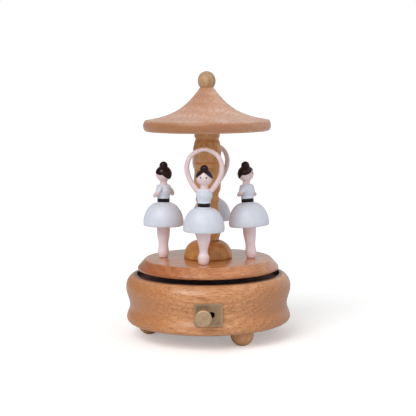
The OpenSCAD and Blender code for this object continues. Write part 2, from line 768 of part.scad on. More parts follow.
// shaft with a single start thread: each step of the helix is a section of four points
module worm() {
    steps = 16;
    last = round(worm_len / worm_lead * steps);
    foot_r = worm_root_r - 0.15;
    section = [[foot_r, -0.3], [worm_tip_r, -0.12], [worm_tip_r, 0.12], [foot_r, 0.3]];
    rings = [for (i = [0:last]) for (q = section)
        let (a = 360 * i / steps) [q[0] * cos(a), q[0] * sin(a), q[1] + worm_lead * i / steps]];
    walls = [for (i = [0:last - 1]) for (k = [0:3])
        let (a = 4 * i + k, b = 4 * i + (k + 1) % 4) each [[a, b + 4, a + 4], [a, b, b + 4]]];
    color(steel) translate([worm_x, worm_y, 0]) union() {
        translate([0, 0, bed_top - 1.2])
            cylinder(r = worm_shaft_r, h = cock_z + cock_t + 0.3 - bed_top + 1.2, $fn = 32);
        translate([0, 0, shaft_z - worm_len / 2 - 0.5]) cylinder(r = worm_root_r, h = worm_len + 1, $fn = 32);
        // a quarter turn sets a tooth of the wheel midway between two turns of the thread
        translate([0, 0, shaft_z - worm_len / 2]) rotate([0, 0, 90]) polyhedron(
            points = rings,
            faces = concat([[3, 2, 1, 0], [for (k = [0:3]) 4 * last + k]], walls),
            convexity = 8
        );
    }
}

module fly() {
    color(brass) translate([worm_x, worm_y, fly_z]) difference() {
        union() {
            cylinder(r = 1.2, h = fly_h);
            translate([-fly_r, -0.2, 0]) cube([2 * fly_r, 0.4, fly_h]);
        }
        translate([0, 0, -1]) cylinder(r = worm_shaft_r + glue_gap, h = fly_h + 2, $fn = 32);
    }
}

// ---- turntable, column and roof ----

module turntable() {
    low = table_t - table_chamfer;
    color(pale_beech) difference() {
        rotate_extrude($fn = 96) polygon(concat(
            [[0, table_z]],
            arc([table_r - 1.2, table_z + 0.9], 1.2, 0.9, -90, 0, 5),
            arc([table_r - 1.2, table_z + low - 0.5], 1.2, 1.2, 0, 40, 4),
            arc([table_r - chamfer_in - 0.3, table_top - 0.7], 0.7, 0.7, 45, 90, 3),
            [[0, table_top]]
        ));
        translate([0, 0, table_z - 1]) cylinder(r = bush_flange_r + glue_gap, h = bush_flange_t + 1);
        translate([0, 0, table_z]) cylinder(r = bush_r + glue_gap, h = bush_h + 0.1);
        translate([0, 0, table_top - dowel_sink]) cylinder(r = dowel_r + glue_gap, h = dowel_sink + 1);
        for (i = [0:3]) footing(i) translate([0, 0, -leg_peg_h - 0.1])
            cylinder(r = leg_peg_r + glue_gap, h = leg_peg_h + 1, $fn = 32);
    }
}

module turntable_bush() {
    color(brass) difference() {
        translate([0, 0, table_z]) union() {
            cylinder(r = bush_flange_r, h = bush_flange_t);
            cylinder(r = bush_r, h = bush_h);
        }
        translate([0, 0, table_z - 1]) cylinder(r = spindle_r + glue_gap, h = bush_h + 2);
    }
}

module column_foot() {
    color(golden_beech) difference() {
        rotate_extrude() polygon(concat(
            [[0, table_top]],
            arc([dome_r - 1, table_top + 1], 1, 1, -90, 0, 3),
            [for (i = [1:10]) let (a = 8 * i)
                [dome_r * pow(cos(a), 0.63), table_top + 1 + (dome_h - 1) * sin(a)]],
            [[dowel_r + 1, column_z], [0, column_z]]
        ));
        translate([0, 0, table_top - 1]) cylinder(r = dowel_r + glue_gap, h = dome_h + 2);
    }
}

// the shaft's swellings, grooves and rings, as [radius, share of the column's length]
function column_profile() = turned([for (s = [
        [0.79, 0], [0.91, 0.065], [0.91, 0.2], [0.77, 0.33], [0.85, 0.38], [0.77, 0.405], [0.93, 0.475],
        [0.96, 0.55], [0.9, 0.64], [0.86, 0.65], [0.94, 0.67], [0.95, 0.7], [0.89, 0.712], [0.95, 0.728], [1, 0.83],
        [0.92, 0.885], [0.82, 0.925], [0.9, 0.95], [0.9, 0.985], [0.87, 1]
    ]) [s[0] * column_r, column_z + s[1] * column_len]], 5);

spigot_r = 4;
spigot_h = 6;

module column() {
    color(golden_beech) difference() {
        union() {
            rotate_extrude() polygon(concat([[0, column_z]], column_profile(), [[0.87 * column_r, roof_z], [0, roof_z]]));
            translate([0, 0, roof_z - 0.01]) cylinder(r = spigot_r, h = spigot_h);
        }
        translate([0, 0, column_z - 1]) cylinder(r = dowel_r + glue_gap, h = dowel_rise + 1.1);
    }
}

module centre_dowel() {
    color(pale_wood) translate([0, 0, table_top - dowel_sink]) cylinder(r = dowel_r, h = dowel_sink + dome_h + dowel_rise);
}

module roof() {
    under = 2;                            // width of the rim's rounding below and above its widest line
    over = 2.65;
    over_h = roof_rim * 0.55;
    wide_z = roof_z + roof_rim * 0.45;
    brim_a = 61;
    brim = [roof_r - over * (1 - cos(brim_a)), wide_z + over_h * sin(brim_a)];
    rise = roof_top - brim[1];
    color(pale_beech) difference() {
        rotate_extrude($fn = 96) polygon(concat(
            [[0, roof_z]],
            arc([roof_r - under, wide_z], under, roof_rim * 0.45, -90, 0, 8),
            arc([roof_r - over, wide_z], over, over_h, brim_a / 8, brim_a * 7 / 8, 6),
            bezier([
                brim, [roof_r * 0.576, brim[1] + rise * 0.123], [roof_r * 0.369, brim[1] + rise * 0.289],
                [neck_r + 0.1, roof_top - 0.4]
            ], 22),
            [[neck_r - 0.3, roof_top], [0, roof_top]]
        ));
        translate([0, 0, roof_z - 1]) cylinder(r = spigot_r + glue_gap, h = spigot_h + 1.1);
        translate([0, 0, roof_top - finial_peg_h]) cylinder(r = finial_peg_r + glue_gap, h = finial_peg_h + 1);
    }
}

finial_peg_r = 2;
finial_peg_h = 6;

module finial() {
    tall = finial_r * 1.08;
    cut = asin((neck_r - 0.3) / finial_r);
    color(pale_wood) translate([0, 0, roof_top + tall * cos(cut)]) rotate_extrude() polygon(concat(
        [[0, -tall * cos(cut) - finial_peg_h + 0.2], [finial_peg_r, -tall * cos(cut) - finial_peg_h + 0.2],
         [finial_peg_r, -tall * cos(cut)]],
        arc([0, 0], finial_r, tall, cut - 90, 90, 18)
    ));
}

// ---- ballerinas ----

// a figure's place on the turntable: +X points outwards, and a leaning figure rests on its sole's edge
module footing(i) {
    lean = figure_lean[i];
    at_angle(figure_angles[i], ring_r + figure_shift[i])
        translate([0, 0, table_top + sole_r * sin(norm(lean))]) rotate([-lean[1], -lean[0], 0]) children();
}

// puts a figure's piece, drawn upright at the origin and facing -Y, in its place
module stand(i) {
    footing(i) rotate([0, 0, 90 - figure_angles[i] + figure_facing[i]]) children();
}

// one turned piece: peg, slippers, ankles, calves and a peg for the skirt
module legs(ankle) {
    color(skin) {
        rotate_extrude() polygon(concat(
            [[0, 0]],
            arc([sole_r, leg_h * 0.2], slipper_r - sole_r, leg_h * 0.2, -90, -10, 7),
            turned([
                [slipper_r, leg_h * 0.2], [ankle, leg_h * 0.385], [leg_r - 0.25, leg_h * 0.8],
                [leg_r, leg_h * 0.999], [leg_r, leg_h]
            ], 6),
            [[leg_r, leg_h], [0, leg_h]]
        ));
        translate([0, 0, -leg_peg_h]) cylinder(r = leg_peg_r, h = leg_peg_h + 0.1, $fn = 32);
        translate([0, 0, leg_h - 0.1]) cylinder(r = hip_peg_r, h = hip_peg_h);
    }
}

module skirt() {
    hem = 2;
    dome = skirt_h - hem - piping_h;
    color(dress_white) difference() {
        rotate_extrude($fn = 72) polygon(concat(
            [[0, skirt_z]],
            arc([skirt_r - 0.9, skirt_z + 0.6], 0.75, 0.6, -90, -10, 4),
            [[skirt_r - 0.08, skirt_z + 1.3]],
            [for (i = [0:13]) let (a = 84 * i / 13)
                [waist_r + (skirt_r - waist_r) * pow(cos(a), 1.06), skirt_z + hem + dome * pow(sin(a), 1.04)]],
            [[waist_r + 0.2, waist_z - piping_h], [waist_r + 0.2, waist_z], [0, waist_z]]
        ));
        translate([0, 0, skirt_z - 1]) cylinder(r = hip_peg_r + glue_gap, h = hip_peg_h + 1);
        translate([0, 0, waist_z - waist_peg_h - 0.1]) cylinder(r = waist_peg_r + glue_gap, h = waist_peg_h + 1);
    }
}

module bodice(raised) {
    core_r = waist_r - sash_t;
    color(dress_white) difference() {
        union() {
            rotate_extrude() polygon(concat(
                [[0, waist_z], [core_r - glue_gap, waist_z], [core_r - glue_gap, bodice_z]],
                [[waist_r + 0.15, bodice_z], [waist_r + 0.15, bodice_z + piping_h]],
                turned([
                    [waist_r + 0.05, bodice_z + piping_h], [bust_r, bodice_z + bodice_h * 0.56],
                    [bust_r * 0.9, bodice_z + bodice_h * 0.8]
                ], 6),
                arc([throat_r + 0.2, bodice_z + bodice_h * 0.8], bust_r * 0.9 - throat_r - 0.2, bodice_h * 0.2, 0, 90, 5),
                [[0, shoulder_z]]
            ));
            translate([0, 0, waist_z - waist_peg_h]) cylinder(r = waist_peg_r, h = waist_peg_h + 0.1);
        }
        translate([0, 0, shoulder_z - neck_peg_h - 0.1]) cylinder(r = neck_peg_r + glue_gap, h = neck_peg_h + 1);
        if (raised) {
            path = raised_path();
            for (m = [0, 1]) mirror([m, 0, 0]) arm_socket(path, raised_radii(path), raised_side, 5);
        } else {
            for (p = [forward_arm, backward_arm]) {
                path = bent_path(p);
                arm_socket(path, bent_radii(path), bent_side, 9);
            }
        }
    }
}

// room for the first rings of an arm
module arm_socket(path, radii, side, rings) {
    swept_bar(
        concat([path[0] - socket_back * heading(path, 0)], [for (i = [0:rings - 1]) path[i]]),
        [for (r = concat([radii[0]], [for (i = [0:rings - 1]) radii[i]])) r + glue_gap],
        side
    );
}

module sashes() {
    color(hair_black) for (i = [0:3]) stand(i) translate([0, 0, waist_z]) difference() {
        cylinder(r = waist_r, h = sash_h - glue_gap);
        translate([0, 0, -1]) cylinder(r = waist_r - sash_t, h = sash_h + 2);
    }
}

module head() {
    color(skin) translate([0, 0, head_z]) union() {
        sphere(r = head_r);
        translate([0, 0, shoulder_z - head_z]) rotate_extrude() polygon(concat(
            [[0, 0], [throat_r, 0]],
            turned([[throat_r, 0.1], [throat_r - 0.2, 2], [throat_r + 0.5, 3.4], [throat_r + 0.5, 3.5]], 4),
            [[0, 3.6]]
        ));
        translate([0, 0, shoulder_z - head_z - neck_peg_h]) cylinder(r = neck_peg_r, h = neck_peg_h + 0.1);
    }
}

// shell of hair round the head, and its bun, as one outline
function hair_profile() =
    let (
        cap_r = head_r + hair_t, inside_r = head_r + glue_gap, bun_z = head_r + bun_rise,
        crease_z = (pow(bun_z, 2) + pow(cap_r, 2) - pow(bun_r, 2)) / (2 * bun_z)
    )
    concat(
        arc([0, 0], cap_r, cap_r, -hair_low, asin(crease_z / cap_r), 24),
        arc([0, bun_z], bun_r, bun_r, asin((crease_z - bun_z) / bun_r), 90, 18),
        arc([0, 0], inside_r, inside_r, 90, -hair_low, 30)
    );

// the face is free under a peaked hairline and below a slope that falls to the nape
module hair() {
    far = 4 * head_r;
    brow_y = -sqrt(pow(head_r + hair_t, 2) - pow(parting_z, 2));
    color(hair_black) translate([0, 0, head_z]) difference() {
        rotate_extrude() polygon(hair_profile());
        intersection() {
            rotate([90, 0, 0]) linear_extrude(height = 2 * far, center = true) polygon([
                [0, parting_z], [-far, parting_z - far * tan(hair_parting)], [far, parting_z - far * tan(hair_parting)]
            ]);
            translate([0, brow_y, parting_z + 0.5]) rotate([-hair_slope, 0, 0])
                translate([-far, -far, -2 * far]) cube(2 * far);
        }
    }
}

// the arms' centre lines and their radii, ring by ring
function placed(p) = [for (q = p) [q[0], -q[1], shoulder_z + q[2]]];
function raised_path() =
    let (half = placed(raised_half))
    spline(concat(half, [for (i = [len(half) - 2:-1:0]) [-half[i][0], half[i][1], half[i][2]]]), 2);
function bent_path(p) = spline(placed(p), 3);
function raised_radii(path) =
    let (last = len(path) - 1) [for (i = [0:last]) arm_r - 0.55 * pow(1 - abs(2 * i / last - 1), 3)];
function bent_radii(path) =
    let (last = len(path) - 1)
    [for (i = [0:last]) (arm_r - 0.35 * i / last) * (i == last ? 0.45 : i == last - 1 ? 0.85 : 1)];

module arms(raised) {
    color(skin) if (raised) {
        path = raised_path();
        swept_bar(path, raised_radii(path), raised_side);
    } else {
        for (p = [forward_arm, backward_arm]) {
            path = bent_path(p);
            swept_bar(path, bent_radii(path), bent_side);
        }
    }
}

// ---- the pieces ----

base_ring();
deck_board();
bottom_cover();
cover_screws();
ball_feet();
switch_plate();
switch_knob();
stop_wire();
bedplate();
bedplate_screws();
comb();
comb_screws();
cylinder_bearings();
governor_frame();
clutch_spring();
spring_barrel();
mainspring();
spindle();
winding_arbor();
winding_key();
cylinder_drum();
cylinder_arbor();
cylinder_wheel();
second_arbor();
worm_wheel();
worm();
fly();
turntable_bush();
turntable();
column_foot();
column();
centre_dowel();
roof();
finial();
sashes();
for (i = [0:3]) {
    who = FIGURES[i];
    stand(i) legs(ankle_r[i]);
    stand(i) skirt();
    stand(i) bodice(raised_arms[i]);
    stand(i) head();
    stand(i) hair();
    stand(i) arms(raised_arms[i]);
}
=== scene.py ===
import json
import math

import bmesh
import bpy
from mathutils import Matrix, Vector

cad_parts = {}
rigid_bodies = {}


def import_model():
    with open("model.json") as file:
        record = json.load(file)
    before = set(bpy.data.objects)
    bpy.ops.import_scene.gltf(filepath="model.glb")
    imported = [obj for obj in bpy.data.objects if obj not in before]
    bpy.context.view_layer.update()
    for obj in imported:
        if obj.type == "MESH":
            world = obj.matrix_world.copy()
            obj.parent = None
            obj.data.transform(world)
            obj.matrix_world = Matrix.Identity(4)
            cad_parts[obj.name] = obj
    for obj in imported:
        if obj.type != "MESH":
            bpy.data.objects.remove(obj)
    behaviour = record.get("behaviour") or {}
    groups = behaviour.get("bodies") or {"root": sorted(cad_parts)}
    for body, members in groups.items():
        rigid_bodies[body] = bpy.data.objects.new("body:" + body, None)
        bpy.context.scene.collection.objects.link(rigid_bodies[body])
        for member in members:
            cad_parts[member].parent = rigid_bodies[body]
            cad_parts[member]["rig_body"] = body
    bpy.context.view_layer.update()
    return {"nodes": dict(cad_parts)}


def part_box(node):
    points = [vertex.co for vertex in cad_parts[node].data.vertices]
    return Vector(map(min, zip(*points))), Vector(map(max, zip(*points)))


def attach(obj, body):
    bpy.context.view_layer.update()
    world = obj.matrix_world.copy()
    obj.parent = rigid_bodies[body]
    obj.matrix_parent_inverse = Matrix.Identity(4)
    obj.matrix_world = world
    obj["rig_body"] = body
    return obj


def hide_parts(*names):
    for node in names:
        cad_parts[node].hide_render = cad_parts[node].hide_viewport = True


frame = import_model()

mm = 0.001
scene = bpy.context.scene
figures = ["front", "right", "back", "left"]


# colours and nodes

def linear(hexColour):
    channels = [int(hexColour[i:i + 2], 16) / 255 for i in (1, 3, 5)]
    return [c / 12.92 if c <= 0.04045 else ((c + 0.055) / 1.055) ** 2.4 for c in channels] + [1.0]


def addNode(tree, kind, settings=None, inputs=None):
    node = tree.nodes.new(kind)
    for name, value in (settings or {}).items():
        setattr(node, name, value)
    for name, value in (inputs or {}).items():
        if isinstance(value, bpy.types.NodeSocket):
            tree.links.new(value, node.inputs[name])
        else:
            node.inputs[name].default_value = value
    return node


colourMix = {"data_type": "RGBA"}
numberMix = {"data_type": "FLOAT"}
eased = {"interpolation_type": "SMOOTHSTEP"}


def startMaterial(name, shaderInputs):
    material = bpy.data.materials.new(name)
    material.use_nodes = True
    tree = material.node_tree
    tree.nodes.clear()
    shader = addNode(tree, "ShaderNodeBsdfPrincipled", inputs=shaderInputs)
    addNode(tree, "ShaderNodeOutputMaterial", inputs={"Surface": shader.outputs["BSDF"]})
    return material, tree, shader


# a noise whose patches have their own count per metre along each axis
def stretchedNoise(tree, place, perMetre, detail, roughness):
    stretched = addNode(tree, "ShaderNodeVectorMath", {"operation": "MULTIPLY"}, {0: place, 1: perMetre})
    noise = addNode(
        tree, "ShaderNodeTexNoise", {},
        {"Vector": stretched.outputs["Vector"], "Scale": 1.0, "Detail": detail, "Roughness": roughness},
    )
    return noise


# beech and its kin: turned, sanded and lacquered. The eye sees slow growth bands, the dark flecks
# of the rays along the grain and a thin clear coat on top

# "grainTurn" turns the grain from X; lengths are in millimetres, but "heart" is in metres
upright = (0, math.pi / 2, 0)
woods = {
    "beechBase": {
        "light": "#e7aa79", "dark": "#c1804f", "warm": "#d38b56", "fleck": "#a46230", "end": "#bc7b48",
        "grainTurn": (0, 0, 0), "heart": (0.01, 0.03, -0.075), "ringWidth": 3.4, "bandShare": 0.5,
        "mottle": 0.4, "fleckLength": 7.5, "fleckWidth": 0.75, "fleckShare": 0.7,
        "roughness": (0.36, 0.5), "coat": 0.45, "coatRoughness": 0.16,
        # painted shade on the inner lip of the base, under the edge of the turntable
        "lip": {"stainAndShade": "#4c2a26", "dark": 51.0, "clear": 53.4, "bottom": 39, "top": 41, "share": 0.8},
    },
    "beechTable": {
        "light": "#e09f6c", "dark": "#b06430", "warm": "#cc7b40", "fleck": "#905026", "end": "#a85018",
        "grainTurn": (0, 0, 0.42), "heart": (0, 0.02, -0.03), "ringWidth": 4, "bandShare": 0.55,
        "mottle": 0.5, "fleckLength": 7.0, "fleckWidth": 0.7, "fleckShare": 0.5,
        "roughness": (0.28, 0.38), "coat": 0.75, "coatRoughness": 0.05,
    },
    "beechRoof": {
        "light": "#f0c8b4", "dark": "#d19a78", "warm": "#deaa8c", "fleck": "#b07c56", "end": "#b07449",
        "grainTurn": (0, 0, 1.25), "heart": (0, 0.015, 0.06), "ringWidth": 5, "bandShare": 0.5,
        "mottle": 0.65, "fleckLength": 6.0, "fleckWidth": 0.7, "fleckShare": 0.3,
        "roughness": (0.4, 0.52), "coat": 0.3, "coatRoughness": 0.22,
        # painted shade: the upright faces of the roof are made darker than its top
        "side": {"stainAndShade": "#a5683e", "share": 0.42, "steep": 0.3, "flat": 0.6},
    },
    "goldenBeech": {
        "light": "#d8994e", "dark": "#ae6d31", "warm": "#c67e38", "fleck": "#74441e", "end": "#c67e38",
        "grainTurn": upright, "heart": (0.004, 0.012, 0), "ringWidth": 3.6, "bandShare": 0.55,
        "mottle": 0.35, "fleckLength": 3.4, "fleckWidth": 0.45, "fleckShare": 0.4,
        "roughness": (0.34, 0.46), "coat": 0.3, "coatRoughness": 0.15,
    },
    "columnBeech": {
        "light": "#eab574", "dark": "#b8773a", "warm": "#cc843e", "fleck": "#7d4a28", "end": "#cc843e",
        "grainTurn": upright, "heart": (0.004, 0.012, 0), "ringWidth": 3.6, "bandShare": 0.5,
        "mottle": 0.35, "fleckLength": 3.4, "fleckWidth": 0.45, "fleckShare": 0.45,
        "roughness": (0.3, 0.42), "coat": 0.45, "coatRoughness": 0.12,
    },
    "paleWood": {
        "light": "#d4b08a", "dark": "#ad8560", "warm": "#bc956c", "fleck": "#6b4427", "end": "#bc956c",
        "grainTurn": upright, "heart": (0.012, 0.02, 0), "ringWidth": 2.6, "bandShare": 0.6,
        "mottle": 0.35, "fleckLength": 3, "fleckWidth": 0.45, "fleckShare": 0.4,
        "roughness": (0.45, 0.6), "coat": 0.15, "coatRoughness": 0.3,
    },
    "footWood": {
        "light": "#e6b484", "dark": "#c48d5c", "warm": "#d29c66", "fleck": "#8c5c35", "end": "#d29c66",
        "grainTurn": upright, "heart": (0.05, 0.03, 0), "ringWidth": 2.6, "bandShare": 0.6,
        "mottle": 0.35, "fleckLength": 3, "fleckWidth": 0.45, "fleckShare": 0.35,
        "roughness": (0.4, 0.55), "coat": 0.3, "coatRoughness": 0.2,
    },
    # the board under the turntable is coloured dark brown as painted shade, so that the gap round it reads
    # black
    "gapShadeBoard": {
        "light": "#7a4238", "dark": "#5c2f28", "warm": "#6b3830", "fleck": "#3d1e19", "end": "#5c2f28",
        "grainTurn": (0, 0, 0.6), "heart": (0, 0.03, -0.02), "ringWidth": 5, "bandShare": 0.5,
        "mottle": 0.3, "fleckLength": 3.6, "fleckWidth": 0.5, "fleckShare": 0.3,
        "roughness": (0.55, 0.7), "coat": 0.05, "coatRoughness": 0.3,
    },
}
# what they all share. Patches are counted per metre, along the grain first; "from" and "to" are
# the levels of the noise between which a mask opens, and "share" is how far it opens
grainLook = {
    "rings": {"Distortion": 4.5, "Detail": 3.0, "Detail Scale": 0.35, "Detail Roughness": 0.55},
    "ringsPerWave": 0.314,
    "drift": {"spacing": 9, "reach": 3},
    "flecks": {"from": 0.47, "to": 0.74, "strength": 0.12, "depth": 0.04},
    "mottle": {"perMetre": (190, 620, 620), "from": 0.42, "to": 0.64},
    "fibres": {"perMetre": (60, 900, 900), "from": 0.4, "to": 0.75, "share": 0.28},
    "warmth": {"perMetre": (24, 24, 24), "from": 0.38, "to": 0.66, "share": 0.6},
    "ends": {"from": 0.25, "to": 0.95, "share": 0.8},
}


# upright faces are painted darker than flat ones: painted shade, where less light falls on them than on the
# tops
def paintedSideShade(tree, place, colour, side):
    normal = addNode(tree, "ShaderNodeSeparateXYZ", inputs={"Vector": place.outputs["Normal"]})
    slope = addNode(tree, "ShaderNodeMath", {"operation": "ABSOLUTE"}, {0: normal.outputs["Z"]})
    steep = addNode(
        tree, "ShaderNodeMapRange", eased,
        {
            "Value": slope.outputs[0], "From Min": side["flat"], "From Max": side["steep"],
            "To Max": side["share"],
        },
    )
    inputs = {0: steep.outputs[0], 6: colour, 7: linear(side["stainAndShade"])}
    return addNode(tree, "ShaderNodeMix", colourMix, inputs).outputs[2]


# the inner lip of the base is painted darker next to the turntable: painted shade, for the shadow the
# turntable casts there
def paintedLipShade(tree, place, colour, lip):
    level = addNode(
        tree, "ShaderNodeVectorMath", {"operation": "MULTIPLY"}, {0: place.outputs["Object"], 1: (1, 1, 0)},
    )
    fromAxis = addNode(tree, "ShaderNodeVectorMath", {"operation": "LENGTH"}, {0: level.outputs["Vector"]})
    inner = addNode(
        tree, "ShaderNodeMapRange", eased,
        {
            "Value": fromAxis.outputs["Value"], "From Min": lip["clear"] * mm, "From Max": lip["dark"] * mm,
            "To Max": lip["share"],
        },
    )
    height = addNode(tree, "ShaderNodeSeparateXYZ", inputs={"Vector": place.outputs["Object"]})
    upper = addNode(
        tree, "ShaderNodeMapRange", {},
        {"Value": height.outputs["Z"], "From Min": lip["bottom"] * mm, "From Max": lip["top"] * mm},
    )
    mask = addNode(
        tree, "ShaderNodeMath", {"operation": "MULTIPLY"}, {0: inner.outputs[0], 1: upper.outputs[0]},
    )
    inputs = {0: mask.outputs[0], 6: colour, 7: linear(lip["stainAndShade"])}
    return addNode(tree, "ShaderNodeMix", colourMix, inputs).outputs[2]


# where the grain runs out of the surface, the open ends drink more stain
def openEnds(tree, place, colour, wood):
    along = Vector((1, 0, 0))
    for angle, axis in zip(wood["grainTurn"], "XYZ"):
        along = Matrix.Rotation(angle, 3, axis) @ along
    facing = addNode(
        tree, "ShaderNodeVectorMath", {"operation": "DOT_PRODUCT"}, {0: place.outputs["Normal"], 1: along},
    )
    opened = addNode(tree, "ShaderNodeMath", {"operation": "ABSOLUTE"}, {0: facing.outputs["Value"]})
    ends = grainLook["ends"]
    mask = addNode(
        tree, "ShaderNodeMapRange", eased,
        {
            "Value": opened.outputs[0], "From Min": ends["from"], "From Max": ends["to"],
            "To Max": ends["share"],
        },
    )
    inputs = {0: mask.outputs[0], 6: colour, 7: linear(wood["end"])}
    return addNode(tree, "ShaderNodeMix", colourMix, inputs).outputs[2]


# growth rings round the heart of the tree, which lies along the grain, with warmer clouds in them
def growthBands(tree, grain, wood):
    scale = grainLook["ringsPerWave"] / (wood["ringWidth"] * mm)
    rings = addNode(
        tree, "ShaderNodeTexWave", {"wave_type": "RINGS", "rings_direction": "X", "wave_profile": "SIN"},
        {"Vector": grain, "Scale": scale, **grainLook["rings"]},
    )
    band = addNode(
        tree, "ShaderNodeMath", {"operation": "MULTIPLY"}, {0: rings.outputs["Fac"], 1: wood["bandShare"]},
    )
    banded = addNode(
        tree, "ShaderNodeMix", colourMix,
        {0: band.outputs[0], 6: linear(wood["light"]), 7: linear(wood["dark"])},
    ).outputs[2]
    warmth = grainLook["warmth"]
    clouds = stretchedNoise(tree, grain, warmth["perMetre"], 3.0, 0.6)
    cloud = addNode(
        tree, "ShaderNodeMapRange", {},
        {"Value": clouds.outputs["Fac"], "From Min": warmth["from"], "From Max": warmth["to"]},
    )
    mask = addNode(
        tree, "ShaderNodeMath", {"operation": "MULTIPLY"}, {0: cloud.outputs[0], 1: warmth["share"]},
    )
    inputs = {0: mask.outputs[0], 6: banded, 7: linear(wood["warm"])}
    return addNode(tree, "ShaderNodeMix", colourMix, inputs).outputs[2]


# no fibre runs quite straight: the dark flecks follow lines that waver by a millimetre or so
def fleckNoise(tree, grain, wood):
    drift = grainLook["drift"]
    wander = addNode(
        tree, "ShaderNodeTexNoise", {},
        {"Vector": grain, "Scale": 1 / (drift["spacing"] * mm), "Detail": 1.0, "Roughness": 0.5},
    )
    waver = addNode(
        tree, "ShaderNodeVectorMath", {"operation": "MULTIPLY_ADD"},
        {0: wander.outputs["Color"], 1: (0, drift["reach"] * mm, drift["reach"] * mm), 2: grain},
    )
    along, across = 1 / (wood["fleckLength"] * mm), 1 / (wood["fleckWidth"] * mm)
    return stretchedNoise(tree, waver.outputs["Vector"], (along, across, across), 1.0, 0.4).outputs["Fac"]


def woodMaterial(name):
    wood = woods[name]
    material, tree, shader = startMaterial(
        name, {"Coat Weight": wood["coat"], "Coat Roughness": wood["coatRoughness"], "IOR": 1.5}
    )
    place = addNode(tree, "ShaderNodeTexCoord")
    grain = addNode(
        tree, "ShaderNodeMapping", {"vector_type": "TEXTURE"},
        {"Vector": place.outputs["Object"], "Location": wood["heart"], "Rotation": wood["grainTurn"]},
    ).outputs["Vector"]
    colour = growthBands(tree, grain, wood)
    # the mottled figure between the bands, then the fine fibres
    mottle, fibre = grainLook["mottle"], grainLook["fibres"]
    figure = stretchedNoise(tree, grain, mottle["perMetre"], 2.0, 0.55).outputs["Fac"]
    fibres = stretchedNoise(tree, grain, fibre["perMetre"], 3.0, 0.6).outputs["Fac"]
    for noise, look, share, edge in (
        (figure, mottle, wood["mottle"], eased), (fibres, fibre, fibre["share"], {}),
    ):
        mask = addNode(
            tree, "ShaderNodeMapRange", edge,
            {"Value": noise, "From Min": look["from"], "From Max": look["to"], "To Max": share},
        )
        inputs = {0: mask.outputs[0], 6: colour, 7: linear(wood["dark"])}
        colour = addNode(tree, "ShaderNodeMix", colourMix, inputs).outputs[2]
    rough = addNode(
        tree, "ShaderNodeMapRange", {},
        {"Value": fibres, "To Min": wood["roughness"][0], "To Max": wood["roughness"][1]},
    )
    colour = openEnds(tree, place, colour, wood)
    # painted shade on upright faces
    if "side" in wood:
        colour = paintedSideShade(tree, place, colour, wood["side"])
    look = grainLook["flecks"]
    flecks = fleckNoise(tree, grain, wood)
    fleckMask = addNode(
        tree, "ShaderNodeMapRange", eased,
        {"Value": flecks, "From Min": look["from"], "From Max": look["to"], "To Max": wood["fleckShare"]},
    )
    inputs = {0: fleckMask.outputs[0], 6: colour, 7: linear(wood["fleck"])}
    colour = addNode(tree, "ShaderNodeMix", colourMix, inputs).outputs[2]
    # painted shade on the inner lip of the base
    if "lip" in wood:
        colour = paintedLipShade(tree, place, colour, wood["lip"])
    pores = addNode(
        tree, "ShaderNodeBump", {"invert": True},
        {"Strength": look["strength"], "Distance": look["depth"] * mm, "Height": flecks},
    )
    tree.links.new(colour, shader.inputs["Base Color"])
    tree.links.new(rough.outputs[0], shader.inputs["Roughness"])
    tree.links.new(pores.outputs["Normal"], shader.inputs["Normal"])
    return material


# paint on turned wood: dipped and rubbed, with a faint orange peel and a little wear in the tone

paints = {
    "skinPaint": {
        "base": "#f1dadd", "shade": "#e6c5bf", "patch": 7.0, "peel": 0.012, "roughness": 0.4,
        "coat": 0.25, "coatRoughness": 0.25, "subsurface": 0.05, "specular": 0.5,
    },
    # a lighter copy of the skin paint for the legs: painted light, to lift them out of the shade under the
    # skirts
    "litSkinForLegs": {
        "base": "#fbe8ee", "shade": "#f0cfca", "patch": 7.0, "peel": 0.012, "roughness": 0.4,
        "coat": 0.25, "coatRoughness": 0.25, "subsurface": 0.05, "specular": 0.5,
    },
    "dressPaint": {
        "base": "#e1e6f3", "shade": "#d3d6e0", "patch": 9.0, "peel": 0.014, "roughness": 0.42,
        "coat": 0.25, "coatRoughness": 0.25, "subsurface": 0.03, "specular": 0.5,
    },
    "hairGloss": {
        "base": "#260f16", "shade": "#2e161c", "patch": 4.0, "peel": 0.01, "roughness": 0.3,
        "coat": 0.2, "coatRoughness": 0.08, "subsurface": 0.0, "specular": 0.2,
    },
    "sashGloss": {
        "base": "#190f14", "shade": "#22161b", "patch": 3.0, "peel": 0.008, "roughness": 0.35,
        "coat": 0.15, "coatRoughness": 0.15, "subsurface": 0.0, "specular": 0.2,
    },
    "eyePaint": {
        "base": "#120d0e", "shade": "#1e1617", "patch": 0.6, "peel": 0.004, "roughness": 0.25,
        "coat": 0.7, "coatRoughness": 0.06, "subsurface": 0.0, "specular": 0.5,
    },
}
# what they share: lengths in millimetres, and the levels of the noise where the tone turns
paintLook = {"peelSpacing": 1.3, "bump": 0.5, "from": 0.42, "to": 0.75, "share": 0.7, "bleed": 1.2}


